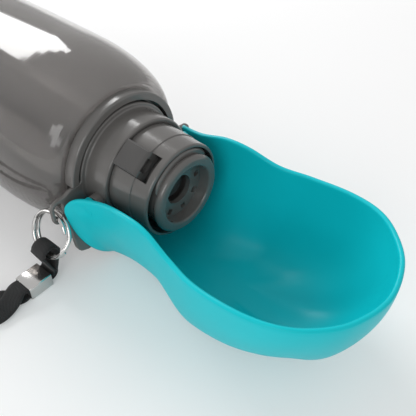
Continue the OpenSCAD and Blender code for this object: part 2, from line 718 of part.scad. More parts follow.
// Wrist strap: from the clamp's upper layer round the loop and back into its lower layer.
// The points lie along X and Y from the middle of the clamp's outer end
layer_z = 1.5 * web_t + 0.04;
loop_points = [[1.4, -8], [2, -14], [-1, -22], [-10, -29], [-22, -32], [-38, -33.5], [-56, -34],
    [-73, -33], [-84, -28.5], [-88.5, -20], [-84, -11.5], [-73, -7.5], [-55, -8], [-38, -11.5],
    [-24, -16], [-13, -17.5], [-5.5, -13.5], [-1.6, -8]];
function clamp_point(share, z) = [strap_x, eye_y - clamp_start - share * clamp_len, clamp_z + z];
route = concat(
    [for (share = [0.03, 0.5, 1, 1.3]) clamp_point(share, layer_z)],
    [for (p = loop_points) clamp_point(1, 0) + [p[0], p[1], 0]],
    [for (share = [1.3, 1, 0.5, 0.03]) clamp_point(share, -layer_z)]);
route_last = len(route) - 1;
route_sub = 3;

function route_knot(i) = i < 0 ? 2 * route[0] - route[1]
    : i > route_last ? 2 * route[route_last] - route[route_last - 1] : route[i];
web_n = route_last * route_sub + 1;
flat_rings = 3 * route_sub;
twist_rings = 5 * route_sub;

// Twist of the webbing: flat in the clamp, on edge in the loop, where it stands on the ground
function ease(s) = let (c = min(1, max(0, s))) c * c * (3 - 2 * c);
function web_twist(k) = 90 * ease((k - flat_rings) / twist_rings)
    + 90 - 90 * ease((web_n - 1 - flat_rings - k) / twist_rings);
function web_foot(k) = ground_z + 0.1 + web_w / 2 * sin(web_twist(k))
    + web_t / 2 * abs(cos(web_twist(k)));
function web_mid(k) = let (i = floor(k / route_sub), j = k - i * route_sub)
    blend(route_knot(i - 1), route_knot(i), route_knot(i + 1), route_knot(i + 2), j / route_sub);
web_path = [for (k = [0:web_n - 1]) let (p = web_mid(k)) [p[0], p[1], max(p[2], web_foot(k))]];
function unit(v) = v / norm(v);
function web_ring(k) = let (
    t = unit(web_path[min(web_n - 1, k + 1)] - web_path[max(0, k - 1)]),
    h = unit(cross(t, [0, 0, 1])),
    v = cross(h, t),
    w = cos(web_twist(k)) * h + sin(web_twist(k)) * v,
    n = cross(t, w))
    [for (q = [[4, 0.5], [3.85, 1], [-3.85, 1], [-4, 0.5], [-4, -0.5], [-3.85, -1], [3.85, -1], [4, -0.5]])
        web_path[k] + q[0] / 8 * web_w * w + q[1] / 2 * web_t * n];

module wrist_strap() {
    color([0.05, 0.05, 0.05]) laid() polyhedron(
        points = [for (k = [0:web_n - 1]) for (p = web_ring(k)) p],
        faces = tube_faces(web_n, 8));
}

bottle();
shoulder_ring();
neck_seal();
screw_cap();
hinge_collar();
front_sleeve();
front_ring();
lock_key();
nozzle();
nozzle_insert();
nozzle_o_ring();
valve_post();
plug_seal();
bowl();
hinge_pin_near();
hinge_pin_far();
split_ring();
strap_eye();
strap_clamp();
wrist_strap();
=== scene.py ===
# Dog travel water bottle, lying on its side with the drinking bowl folded open
import json
import math

import bmesh
import bpy
import numpy as np
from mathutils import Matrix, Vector
from mathutils.geometry import tessellate_polygon

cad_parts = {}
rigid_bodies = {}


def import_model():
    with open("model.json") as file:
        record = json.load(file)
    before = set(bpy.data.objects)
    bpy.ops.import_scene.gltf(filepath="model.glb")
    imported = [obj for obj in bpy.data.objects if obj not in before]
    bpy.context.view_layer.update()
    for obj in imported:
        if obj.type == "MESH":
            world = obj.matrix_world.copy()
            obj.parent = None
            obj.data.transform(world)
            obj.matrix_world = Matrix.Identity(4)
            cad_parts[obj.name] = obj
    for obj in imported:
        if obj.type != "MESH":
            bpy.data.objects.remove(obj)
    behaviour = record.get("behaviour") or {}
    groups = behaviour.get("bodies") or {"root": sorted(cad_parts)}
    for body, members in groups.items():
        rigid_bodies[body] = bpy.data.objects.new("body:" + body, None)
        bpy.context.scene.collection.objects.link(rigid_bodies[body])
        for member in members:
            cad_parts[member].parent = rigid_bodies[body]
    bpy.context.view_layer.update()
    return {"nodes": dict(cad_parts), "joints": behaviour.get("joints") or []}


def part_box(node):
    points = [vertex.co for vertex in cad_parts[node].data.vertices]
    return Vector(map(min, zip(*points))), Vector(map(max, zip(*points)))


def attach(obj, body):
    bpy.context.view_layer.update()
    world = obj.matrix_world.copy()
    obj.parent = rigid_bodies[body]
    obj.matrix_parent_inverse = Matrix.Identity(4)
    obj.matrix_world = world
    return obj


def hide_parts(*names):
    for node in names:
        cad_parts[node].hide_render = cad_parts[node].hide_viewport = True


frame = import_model()
joints = {joint["name"]: joint for joint in frame["joints"]}

# Camera: a close view from the front right and from above, over the nozzle into the bowl.
# The lip of the nozzle and the bottle's axis place it.
MM = 0.001
FRAME_PX = 416
FOCAL_PX = 600
VIEW_AZIMUTH = math.radians(40.9)
VIEW_ELEVATION = math.radians(44.65)
EYE_FROM_LIP = Vector((110.9, -117.3, 152.7)) * MM

low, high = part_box("bottle")
axis_z = (low.z + high.z) / 2
neck_end_x = high.x
lip_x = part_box("nozzle")[1].x

camera = bpy.data.objects.new("camera", bpy.data.cameras.new("camera"))
bpy.context.scene.collection.objects.link(camera)
camera.data.lens = camera.data.sensor_width * FOCAL_PX / FRAME_PX
camera.data.clip_start = 0.01
camera.location = Vector((lip_x, 0, axis_z)) + EYE_FROM_LIP
camera.rotation_euler = (math.pi / 2 - VIEW_ELEVATION, 0, VIEW_AZIMUTH)
bpy.context.scene.camera = camera
bpy.context.scene.view_settings.view_transform = "Standard"


# Studio: a pale table that runs on out of sight, a white tent all round and three softboxes.
# The tent shows white to the camera and through the bottle.
def linear(colour):
    """The linear colour of an sRGB hex value."""
    parts = [int(colour[i:i + 2], 16) / 255 for i in (1, 3, 5)]
    return tuple(c / 12.92 if c <= 0.04045 else ((c + 0.055) / 1.055) ** 2.4 for c in parts) + (1,)


def add(tree, kind, settings=None, inputs=None):
    """Adds a node. An input is a value or the socket that feeds it."""
    made = tree.nodes.new(kind)
    for name, value in (settings or {}).items():
        setattr(made, name, value)
    for name, value in (inputs or {}).items():
        if isinstance(value, bpy.types.NodeSocket):
            tree.links.new(value, made.inputs[name])
        else:
            made.inputs[name].default_value = value
    return made


def new_material(name):
    material = bpy.data.materials.new(name)
    material.use_nodes = True
    material.node_tree.nodes.clear()
    return material, material.node_tree


def new_object(name, vertices, faces, smooth=True):
    mesh = bpy.data.meshes.new(name)
    mesh.from_pydata([tuple(v) for v in vertices], [], faces)
    mesh.validate()
    bm = bmesh.new()
    bm.from_mesh(mesh)
    bmesh.ops.remove_doubles(bm, verts=bm.verts, dist=1e-6)
    bmesh.ops.recalc_face_normals(bm, faces=bm.faces)
    bm.to_mesh(mesh)
    bm.free()
    made = bpy.data.objects.new(name, mesh)
    bpy.context.scene.collection.objects.link(made)
    if smooth:
        mesh.shade_smooth()
    return made


def set_material(obj, material):
    obj.data.materials.clear()
    obj.data.materials.append(material)


TENT_LIGHT = 0.62
world = bpy.data.worlds.new("tent")
bpy.context.scene.world = world
world.use_nodes = True
tree = world.node_tree
tree.nodes.clear()
rays = add(tree, "ShaderNodeLightPath")
seen = add(tree, "ShaderNodeMath", {"operation": "MAXIMUM"},
           {0: rays.outputs["Is Camera Ray"], 1: rays.outputs["Is Transmission Ray"]})
level = add(tree, "ShaderNodeMapRange", None,
            {"Value": seen.outputs[0], "To Min": TENT_LIGHT, "To Max": 1.0})
tent = add(tree, "ShaderNodeBackground", None,
           {"Color": linear("#ffffff"), "Strength": level.outputs[0]})
add(tree, "ShaderNodeOutputWorld", None, {"Surface": tent.outputs[0]})

table_material, tree = new_material("white_table")
pale = add(tree, "ShaderNodeBsdfPrincipled", None,
           {"Base Color": linear("#f8f8f8"), "Roughness": 0.7, "Specular IOR Level": 0.1})
rays = add(tree, "ShaderNodeLightPath")
seen = add(tree, "ShaderNodeMath", {"operation": "MULTIPLY"},
           {0: rays.outputs["Is Camera Ray"], 1: 0.25})
white = add(tree, "ShaderNodeEmission", None, {"Color": linear("#ffffff"), "Strength": 1.0})
surface = add(tree, "ShaderNodeMixShader", None,
              {0: seen.outputs[0], 1: pale.outputs[0], 2: white.outputs[0]})
add(tree, "ShaderNodeOutputMaterial", None, {"Surface": surface.outputs[0]})
TABLE_HALF = 3.0
TABLE_DROP = 0.1 * MM
table = new_object("table", [(-TABLE_HALF, -TABLE_HALF, 0), (TABLE_HALF, -TABLE_HALF, 0),
                             (TABLE_HALF, TABLE_HALF, 0), (-TABLE_HALF, TABLE_HALF, 0)],
                   [(0, 1, 2, 3)], smooth=False)
table.location.z = -TABLE_DROP
set_material(table, table_material)


def softbox(name, place, target, size, power):
    lamp = bpy.data.lights.new(name, "AREA")
    lamp.shape = "RECTANGLE"
    lamp.size, lamp.size_y = size
    lamp.energy = power
    made = bpy.data.objects.new(name, lamp)
    bpy.context.scene.collection.objects.link(made)
    made.location = place
    made.rotation_euler = (Vector(target) - Vector(place)).to_track_quat("-Z", "Y").to_euler()


softbox("key", (-0.75, 0.27, 0.62), (0, 0, 0.03), (0.6, 0.34), 6.2)
softbox("fill", (0.35, -0.7, 0.45), (0.05, 0, 0.02), (0.4, 0.4), 1.5)
softbox("strip", (-0.75, -0.66, 0.2), (-0.05, 0, 0.04), (0.14, 0.26), 0.8)

# Bowl: one leaf-shaped shell of soft silicone, compression moulded with a rounded rim.
# A blind boss inside each rear ear takes a hinge pin, which leaves a dimple outside.
# [share of the reach in front of the hinge or of EAR_BACK behind it, share of the widest half
# width, share of the rim's rise, power of the wall's curve, which is fuller the lower it is]
RIM_SHARES = [(-1, 0.965, 0, 0.65), (-0.3, 0.87, 0.3, 0.65), (0.08, 0.805, 0.62, 0.65),
              (0.19, 0.83, 0.96, 0.71), (0.29, 0.85, 1, 0.64), (0.41, 0.91, 0.68, 0.35),
              (0.53, 0.985, 0.69, 0.44), (0.68, 0.995, 0.88, 0.59), (0.8, 0.92, 1, 0.73),
              (0.89, 0.74, 1, 0.73), (0.965, 0.44, 1, 0.52), (1, 0, 1, 0.52)]
EAR_BACK = 7.1 * MM
RIM_LOW = -2.7 * MM
RIM_HIGH = 7.3 * MM
BOWL_WALL = 1.9 * MM
BOWL_LIFT = 0.2 * MM
REAR_LEAN = 0.2
REAR_EASE = 8 * MM
REAR_SHARE = 0.3
EAR_CORNER = 2.6 * MM
DROP_POWER = 1.1
KEEL_END = 0.4
FLOOR_ANGLE = 84
RIM_STEPS = 14
WALL_STEPS = 34
FLOOR_STEPS = 6
CREST = 0.8 * MM
CREST_STEPS = 8

hinge = Vector(joints["bowl_fold"]["pos_m"])
bowl_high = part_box("bowl")[1]
bowl_reach = bowl_high.x - hinge.x
bowl_half = bowl_high.y
rim_low_z = axis_z + RIM_LOW
floor_z = BOWL_LIFT


def smooth_curve(points, steps):
    """A Catmull-Rom curve through the points, which carry one spare point at each end."""
    made = []
    for i in range(1, len(points) - 2):
        a, b, c, d = points[i - 1:i + 3]
        for t in np.arange(steps) / steps:
            made.append(0.5 * (2 * b + (c - a) * t + (2 * a - 5 * b + 4 * c - d) * t ** 2
                               + (3 * b - a - 3 * c + d) * t ** 3))
    made.append(points[-2])
    return np.array(made)


knots = [np.array((hinge.x + x * (EAR_BACK if x < 0 else bowl_reach), -y * bowl_half,
                   rim_low_z + z * (RIM_HIGH - RIM_LOW), power))
         for x, y, z, power in RIM_SHARES]
mirror_y = np.array((1, -1, 1, 1))
spare_knots = [2 * knots[0] - knots[1]] + knots + [knots[-2] * mirror_y]
near_rim = smooth_curve(spare_knots, RIM_STEPS)
rim_line = np.vstack([near_rim, near_rim[-2::-1] * mirror_y])
rim, wall_power = rim_line[:, :3], rim_line[:, 3]
rear_x = rim[0][0]
along = np.gradient(rim, axis=0)
along[:, 2] = 0
along /= np.linalg.norm(along, axis=1)[:, None]
outwards = np.stack([along[:, 1], -along[:, 0], np.zeros(len(rim))], axis=1)
outwards[:, 0] *= np.clip((rim[:, 0] - rear_x) / REAR_EASE, 0, 1)
corner = np.clip(1 - (rim[:, 0] - rear_x) / EAR_CORNER, 0, 1)
rim[:, 2] -= EAR_CORNER * (1 - np.sqrt(1 - corner ** 2))


def wall_line(i, inset):
    """Points down the wall from the rim to the keel, inset from the outside by that much."""
    p = rim[i] - inset * outwards[i]
    keel_x = min(p[0], hinge.x + KEEL_END * bowl_reach)
    keel_z = floor_z + inset
    line = []
    for step in range(WALL_STEPS + 1):
        a = math.radians(FLOOR_ANGLE) * step / WALL_STEPS
        side = math.cos(a) ** wall_power[i]
        drop = (math.sin(a) / math.sin(math.radians(FLOOR_ANGLE))) ** DROP_POWER
        z = p[2] + (keel_z - p[2]) * drop
        near_rear = max(0, 1 - (p[0] - rear_x) / (REAR_SHARE * bowl_reach))
        lean = REAR_LEAN * (rim_low_z - z) * near_rear
        line.append(np.array((keel_x + (p[0] - keel_x) * side + max(0, lean), p[1] * side, z)))
    last = line[-1]
    centre = np.array((keel_x + last[0] - keel_x - (p[0] - keel_x) * side, 0, keel_z))
    for step in range(1, FLOOR_STEPS + 1):
        line.append(last + (centre - last) * step / FLOOR_STEPS)
    return line


def crest_line(outer, inner):
    """The rounded rim over the wall, between its outer and its inner edge."""
    middle = (outer + inner) / 2
    half = (outer - inner) / 2
    return [middle + math.cos(a) * half + np.array((0, 0, CREST * math.sin(a)))
            for a in np.linspace(0, math.pi, CREST_STEPS + 1)[1:-1]]


sections = []
for i in range(len(rim)):
    outer = wall_line(i, 0)
    inner = wall_line(i, BOWL_WALL)
    sections.append(outer[::-1] + crest_line(outer[0], inner[0]) + inner)
section_size = len(sections[0])
bowl_points = np.array([p for section in sections for p in section])
bowl_faces = [(a, a + 1, a + 1 + section_size, a + section_size)
              for i in range(len(rim) - 1)
              for a in range(i * section_size, (i + 1) * section_size - 1)]
for i in (0, len(rim) - 1):
    ends = [i * section_size + k for k in range(section_size)]
    for k in range(section_size // 2 - 1):
        bowl_faces.append((ends[k], ends[k + 1], ends[-2 - k], ends[-1 - k]))

DIMPLE_R = 3.2 * MM
DIMPLE_DEPTH = 0.55 * MM
off_axis = np.hypot(bowl_points[:, 0] - hinge.x, bowl_points[:, 2] - hinge.z)
is_outside = np.tile(np.arange(section_size) <= WALL_STEPS + FLOOR_STEPS, len(rim))
dent = np.where(is_outside & (off_axis < DIMPLE_R),
                DIMPLE_DEPTH * (0.5 + 0.5 * np.cos(np.pi * off_axis / DIMPLE_R)), 0)
bowl_points[:, 1] -= np.sign(bowl_points[:, 1]) * dent
bowl = new_object("bowl_shell", bowl_points, bowl_faces)


def turned(name, profile, centre, direction, segments=64, sweep=360):
    """A turned piece: the profile's points are [place along the direction, radius]."""
    turn = Vector(direction).to_track_quat("Z", "Y").to_matrix()
    rings = []
    for s in range(segments):
        a = math.radians(sweep) * s / segments
        for height, radius in profile:
            rings.append(turn @ Vector((radius * math.cos(a), radius * math.sin(a), height))
                         + Vector(centre))
    n = len(profile)
    faces = [(s * n + k, s * n + k + 1, (s + 1) % segments * n + k + 1, (s + 1) % segments * n + k)
             for s in range(segments) for k in range(n - 1)]
    return new_object(name, rings, faces)


SUPPORT_SHARE = 0.06


def rounded(points, radius, steps=4):
    """The outline with its inner corners rounded, and a support point on either side."""
    points = [Vector((p[0], p[1])) for p in points]
    made = [points[0]]
    for before, corner, after in zip(points, points[1:], points[2:]):
        reach = min(radius, (before - corner).length / 2, (after - corner).length / 2)
        start = corner + (before - corner).normalized() * reach
        end = corner + (after - corner).normalized() * reach
        made.append(start.lerp(before, SUPPORT_SHARE))
        for s in range(steps + 1):
            t = s / steps
            made.append(start.lerp(corner, t).lerp(corner.lerp(end, t), t))
        made.append(end.lerp(after, SUPPORT_SHARE))
    made.append(points[-1])
    return [tuple(p) for p in made]


BOSS_R = 3.3 * MM
BOSS_IN = 24.8 * MM
BOSS_OUT = 0.4 * MM
BOSS_EDGE = 0.5 * MM
PIN_ROOM = 0.05 * MM
PIN_END_ROOM = 0.2 * MM
pin_r = (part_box("hinge_pin_near")[1].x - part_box("hinge_pin_near")[0].x) / 2
pin_out = abs(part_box("hinge_pin_far")[1].y)
for side, where in ((-1, "near"), (1, "far")):
    hole_r = pin_r + PIN_ROOM
    hole_end = pin_out + PIN_END_ROOM
    profile = rounded([(hole_end, 0), (hole_end, hole_r), (BOSS_IN, hole_r), (BOSS_IN, BOSS_R),
                       (pin_out + BOSS_OUT, BOSS_R)], BOSS_EDGE)
    boss = turned(f"bowl_boss_{where}", profile, (hinge.x, 0, hinge.z), (0, side, 0), 40)
    boss.parent = bowl

# Silicone: deep turquoise and satin, with slow changes of tint and gloss.
# Dust-fine grain from the mould, drawn 0.6 mm wide so that it shows.
SILICONE_GRAIN = 0.6 * MM
silicone, tree = new_material("moulded_silicone")
place = add(tree, "ShaderNodeTexCoord")
cloud = add(tree, "ShaderNodeTexNoise", None,
            {"Vector": place.outputs["Object"], "Scale": 1 / (30 * MM), "Detail": 3.0})
tint = add(tree, "ShaderNodeMix", {"data_type": "RGBA"},
           {"Factor": cloud.outputs[0], 6: linear("#04bcc6"), 7: linear("#10c8d2")})
grain = add(tree, "ShaderNodeTexNoise", None,
            {"Vector": place.outputs["Object"], "Scale": 1 / SILICONE_GRAIN, "Detail": 2.0})
relief = add(tree, "ShaderNodeBump", None,
             {"Height": grain.outputs[0], "Strength": 0.05, "Distance": 0.05 * MM})
gloss = add(tree, "ShaderNodeMapRange", None,
            {"Value": cloud.outputs[0], "To Min": 0.3, "To Max": 0.42})
skin = add(tree, "ShaderNodeBsdfPrincipled", None,
           {"Base Color": tint.outputs[2], "Roughness": gloss.outputs[0], "IOR": 1.41,
            "Specular IOR Level": 0.3, "Normal": relief.outputs[0]})
add(tree, "ShaderNodeOutputMaterial", None, {"Surface": skin.outputs[0]})
for piece in [bowl, *bowl.children]:
    set_material(piece, silicone)
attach(bowl, "bowl")
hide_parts("bowl")

# Bottle: a blown copolyester body, smoky and see-through, with a screw neck and a domed base.
# It is polished by its mould; the two or three millimetres of wall darken at its edges.
SMOKE_GRAIN = 60 * MM
smoky, tree = new_material("smoky_copolyester")
place = add(tree, "ShaderNodeTexCoord")
waves = add(tree, "ShaderNodeTexNoise", None,
            {"Vector": place.outputs["Object"], "Scale": 1 / SMOKE_GRAIN, "Detail": 1.0})
tint = add(tree, "ShaderNodeMix", {"data_type": "RGBA"},
           {"Factor": waves.outputs[0], 6: linear("#a5a2a0"), 7: linear("#b2afad")})
relief = add(tree, "ShaderNodeBump", None,
             {"Height": waves.outputs[0], "Strength": 0.1, "Distance": 0.4 * MM})
wall = add(tree, "ShaderNodeBsdfPrincipled", None,
           {"Base Color": tint.outputs[2], "Roughness": 0.08, "IOR": 1.5,
            "Transmission Weight": 0.85, "Normal": relief.outputs[0]})
add(tree, "ShaderNodeOutputMaterial", None, {"Surface": wall.outputs[0]})
bottle = frame["nodes"]["bottle"]
set_material(bottle, smoky)


# Neck thread: a single start of two turns, moulded on the neck with a 4 mm pitch.
# The cap's own thread isn't drawn.
def skin_faces(rows, n):
    """Quads between rows of n points each, and a cap on both ends."""
    faces = [(r * n + k, r * n + (k + 1) % n, (r + 1) * n + (k + 1) % n, (r + 1) * n + k)
             for r in range(rows - 1) for k in range(n)]
    return faces + [tuple(range(n))[::-1], tuple((rows - 1) * n + k for k in range(n))]


def swept(name, path, across, up, outline):
    """A closed bar along the path; across and up are its section's axes at each point."""
    points = [p + a * x + u * y for p, a, u in zip(path, across, up) for x, y in outline]
    return new_object(name, points, skin_faces(len(path), len(outline)))


def helix_ridge(name, start_x, lead, start_angle, turns, root_r, height, width):
    """A rounded thread ridge round the bottle's axis, fading at both ends."""
    count = int(72 * turns) + 1
    path, across, up = [], [], []
    for k in range(count):
        share = k / (count - 1)
        a = math.radians(start_angle) + math.tau * turns * share
        radial = np.array((0, math.cos(a), math.sin(a)))
        fade = min(1, 8 * share, 8 * (1 - share)) ** 0.5
        path.append(np.array((start_x + lead * turns * share, 0, axis_z)) + radial * root_r)
        across.append(np.array((width * (0.6 + 0.4 * fade), 0, 0)))
        up.append(radial * height * max(fade, 0.02))
    outline = [(-0.5, -0.4), (-0.5, 0), (-0.36, 0.62), (-0.16, 1), (0.16, 1), (0.36, 0.62),
               (0.5, 0), (0.5, -0.4)]
    return swept(name, path, across, up, outline)


NECK_PITCH = 4 * MM
THREAD_BACK = 10.5 * MM
THREAD_RISE = 1.1 * MM
THREAD_W = 1.8 * MM
neck_r = (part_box("neck_seal")[1].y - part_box("neck_seal")[0].y) / 2
thread = helix_ridge("neck_thread", neck_end_x - THREAD_BACK, NECK_PITCH, 200, 2, neck_r,
                     THREAD_RISE, THREAD_W)
set_material(thread, smoky)
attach(thread, "bottle")

# Cap parts: moulded ABS, warm grey and a darker grey, with the soft gloss of a polished mould.
# Flow and cooling leave slow waves in the gloss; the grain is drawn at 0.5 mm to show.
ABS_GRAIN = 0.5 * MM


def moulded_abs(name, dark, pale_tone, rough_low, rough_high):
    material, tree = new_material(name)
    place = add(tree, "ShaderNodeTexCoord")
    flow = add(tree, "ShaderNodeTexNoise", None,
               {"Vector": place.outputs["Object"], "Scale": 1 / (12 * MM), "Detail": 3.0})
    tint = add(tree, "ShaderNodeMix", {"data_type": "RGBA"},
               {"Factor": flow.outputs[0], 6: linear(dark), 7: linear(pale_tone)})
    gloss = add(tree, "ShaderNodeMapRange", None,
                {"Value": flow.outputs[0], "To Min": rough_low, "To Max": rough_high})
    grain = add(tree, "ShaderNodeTexNoise", None,
                {"Vector": place.outputs["Object"], "Scale": 1 / ABS_GRAIN, "Detail": 2.0})
    relief = add(tree, "ShaderNodeBump", None,
                 {"Height": grain.outputs[0], "Strength": 0.04, "Distance": 0.04 * MM})
    body = add(tree, "ShaderNodeBsdfPrincipled", None,
               {"Base Color": tint.outputs[2], "Roughness": gloss.outputs[0], "IOR": 1.54,
                "Normal": relief.outputs[0]})
    add(tree, "ShaderNodeOutputMaterial", None, {"Surface": body.outputs[0]})
    return material


warm_abs = moulded_abs("moulded_warm_grey_abs", "#5f5d5b", "#6a6866", 0.15, 0.23)
dark_abs = moulded_abs("moulded_dark_grey_abs", "#474645", "#504f4e", 0.18, 0.26)
for node in ("shoulder_ring", "front_sleeve", "front_ring", "nozzle", "nozzle_insert"):
    set_material(frame["nodes"][node], warm_abs)
for node in ("screw_cap", "lock_key", "valve_post"):
    set_material(frame["nodes"][node], dark_abs)

# Hinge collar: the cap's moulded outer shell, with a flange round its back, two ears for a clip
# and two stubs that hold the hinge pins. The apron under it stops the open bowl.
FLANGE_R = 23.4 * MM
FLANGE_FRONT = 3.6 * MM
COLLAR_WALL = 1.9 * MM
EDGE_R = 0.8 * MM
CAP_ROOM = 0.1 * MM
STUB_IN = 20 * MM
STUB_OUT = 24.48 * MM
STUB_R = 3.2 * MM
STUB_EDGE = 0.3 * MM
collar_low, collar_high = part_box("hinge_collar")
sleeve_low, sleeve_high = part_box("front_sleeve")
bore_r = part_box("screw_cap")[1].y + CAP_ROOM
sleeve_bore_r = sleeve_high.y + CAP_ROOM
collar_r = FLANGE_R - COLLAR_WALL
back_x, front_x = collar_low.x, collar_high.x
flange_front_x = back_x + FLANGE_FRONT
collar_outline = ([(back_x, bore_r)]
                  + rounded([(back_x, bore_r), (back_x, FLANGE_R), (flange_front_x, FLANGE_R),
                             (flange_front_x, collar_r), (front_x, collar_r),
                             (front_x, sleeve_bore_r)], EDGE_R)
                  + [(sleeve_low.x, sleeve_bore_r), (sleeve_low.x, bore_r), (back_x, bore_r)])
collar = turned("collar_shell", collar_outline, (0, 0, axis_z), (1, 0, 0), 128)
collar_parts = []
for side, where in ((-1, "near"), (1, "far")):
    stub_outline = rounded([(STUB_IN, pin_r), (STUB_IN, STUB_R), (STUB_OUT, STUB_R),
                            (STUB_OUT, pin_r), (STUB_IN, pin_r)], STUB_EDGE)
    collar_parts.append(turned(f"collar_stub_{where}", stub_outline, (hinge.x, 0, hinge.z),
                               (0, side, 0), 48))


def arc(cx, cy, radius, start, end, steps):
    return [(cx + radius * math.cos(math.radians(a)), cy + radius * math.sin(math.radians(a)))
            for a in np.linspace(start, end, steps + 1)]


EAR_T = 1.6 * MM
EAR_EDGE = 0.45 * MM
EAR_LEAN = 1.2 * MM
EYE_Y = 34.3 * MM
EYE_LOW = -7.95 * MM
EYE_R = 1.9 * MM
EYE_LIMB = 1.35 * MM
ARM_LOW = -6 * MM
ARM_END_Y = 27 * MM
ARM_TURN_Y = 29.4 * MM
ARM_DROP = 0.5 * MM
ROOT_Y = 17 * MM
ROOT_TOP = 8 * MM
EAR_TOPS = {"near": (-3.25, [(19.4, 7.4), (19.9, 6.9), (23.8, 2.7), (27.8, 2), (31.2, 0.3),
                             (33, 0.1)]),
            "far": (-7.15, [(19.4, 7.4), (19.9, 6.9), (23.8, 2.6), (27.6, 0.6), (31, -2.9),
                            (33, -3.8)])}


def inset_line(line, amount):
    """The closed outline moved to its left by that much."""
    ahead = np.roll(line, -1, axis=0) - np.roll(line, 1, axis=0)
    ahead /= np.linalg.norm(ahead, axis=1)[:, None]
    return line + amount * np.stack([-ahead[:, 1], ahead[:, 0]], axis=1)


def ear_plate(name, side, outline, eye):
    """A flat plate with an eye and rounded edges; outline runs left about it, eye runs right."""
    turn = [math.radians(a) for a in (0, 30, 60, 90)]
    layers = [(EAR_EDGE + 0.1 * MM, EAR_T / 2)]
    layers += [(EAR_EDGE * (1 - math.sin(a)), EAR_T / 2 - EAR_EDGE * (1 - math.cos(a)))
               for a in turn]
    layers += [(inset, -height) for inset, height in layers[::-1]]
    points, faces, ends = [], [], []
    for line in (np.array(outline), np.array(eye)):
        start, n = len(points), len(line)
        for inset, height in layers:
            for y, z in inset_line(line, inset):
                lean = EAR_LEAN * min(1, max(0, (y - FLANGE_R) / (EYE_Y - FLANGE_R)))
                points.append((flange_front_x - EAR_T / 2 + height - lean, side * y, axis_z + z))
        faces += [(start + r * n + k, start + r * n + (k + 1) % n,
                   start + (r + 1) * n + (k + 1) % n, start + (r + 1) * n + k)
                  for r in range(len(layers) - 1) for k in range(n)]
        ends.append([[start + r * n + k for k in range(n)] for r in (0, len(layers) - 1)])
    for r in (0, 1):
        rims = [line[r] for line in ends]
        flat = rims[0] + rims[1]
        corners = [[Vector((0, points[k][1], points[k][2])) for k in rim] for rim in rims]
        faces += [tuple(flat[k] for k in face) for face in tessellate_polygon(corners)]
    return new_object(name, points, faces)


for side, where in ((-1, "near"), (1, "far")):
    eye_top, edge = EAR_TOPS[where][0] * MM, EAR_TOPS[where][1]
    limb_r = EYE_R + EYE_LIMB
    top_edge = smooth_curve([np.array(point) * MM for point in edge], 5)
    outline = ([(ROOT_Y, ARM_LOW), (ARM_END_Y, ARM_LOW), (ARM_TURN_Y, ARM_LOW - ARM_DROP)]
               + arc(EYE_Y, EYE_LOW, limb_r, 190, 360, 16) + arc(EYE_Y, eye_top, limb_r, 0, 95, 9)
               + [tuple(point) for point in top_edge[::-1]] + [(ROOT_Y, ROOT_TOP)])
    eye_line = (arc(EYE_Y, EYE_LOW, EYE_R, 0, -180, 16) + arc(EYE_Y, eye_top, EYE_R, 180, 0, 16))
    collar_parts.append(ear_plate(f"collar_ear_{where}", side, outline, eye_line))

APRON_TOP = -9 * MM
APRON_LOW = -26.5 * MM
APRON_HALF = 33 * MM
APRON_CORNER = 4 * MM
APRON_T = 2 * MM
APRON_EDGE = 0.4 * MM
APRON_GAP = 0.3 * MM
APRON_LIFT = 0.5 * MM
APRON_TIP = 0.6 * MM
APRON_ROWS = 18
APRON_COLUMNS = 41
RING_ROOM = 0.3 * MM
RING_GAP = 0.15 * MM
RING_WALL = 3 * MM
ring_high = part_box("shoulder_ring")[1]
ring_in_r, ring_out_r = ring_high.y - RING_WALL - RING_ROOM, ring_high.y + RING_ROOM
apron_depth = rim_low_z - APRON_LIFT
levels = np.concatenate([np.linspace(APRON_TOP, APRON_LOW, APRON_ROWS),
                         np.linspace(APRON_LOW - 0.1 * MM, APRON_LIFT - axis_z, APRON_ROWS)])
points = []
for z in levels:
    corner = max(0, APRON_CORNER - min(APRON_TOP - z, z - APRON_LOW))
    half = (APRON_HALF - APRON_CORNER + math.sqrt(max(0, APRON_CORNER ** 2 - corner ** 2))
            if z >= APRON_LOW else 0)
    sine = min(1, max(0, (rim_low_z - axis_z - z) / apron_depth) ** (1 / DROP_POWER))
    half = max(half, abs(rim[0][1]) * (1 - sine ** 2) ** (wall_power[0] / 2), APRON_TIP)
    face_x = rear_x - APRON_GAP + REAR_LEAN * (rim_low_z - axis_z - z)
    across = np.linspace(-1, 1, APRON_COLUMNS) * (half - APRON_EDGE)
    backs = []
    for y in across:
        over_ring = ring_in_r < math.hypot(y, z) < ring_out_r
        backs.append(max(face_x - APRON_T, ring_high.x + RING_GAP if over_ring else 0))
    points += [(face_x, y, axis_z + z) for y in across]
    points += [(face_x - APRON_EDGE, half, axis_z + z), (backs[-1] + APRON_EDGE, half, axis_z + z)]
    points += [(back, y, axis_z + z) for y, back in zip(across[::-1], backs[::-1])]
    points += [(backs[0] + APRON_EDGE, -half, axis_z + z), (face_x - APRON_EDGE, -half, axis_z + z)]
faces = skin_faces(len(levels), len(points) // len(levels))
collar_parts.append(new_object("collar_apron", points, faces, smooth=False))
for piece in [collar, *collar_parts]:
    set_material(piece, warm_abs)
    if piece is not collar:
        piece.parent = collar
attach(collar, "head")
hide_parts("hinge_collar")

# Seals: a white silicone gasket in the cap and two black nitrile rings.
# They are matte and a little dusty.
white_rubber = moulded_abs("white_silicone_gasket", "#d9d9d5", "#e4e4e0", 0.5, 0.6)
black_rubber = moulded_abs("black_nitrile", "#121212", "#1b1b1b", 0.45, 0.6)
set_material(frame["nodes"]["neck_seal"], white_rubber)
for node in ("nozzle_o_ring", "plug_seal"):
    set_material(frame["nodes"][node], black_rubber)

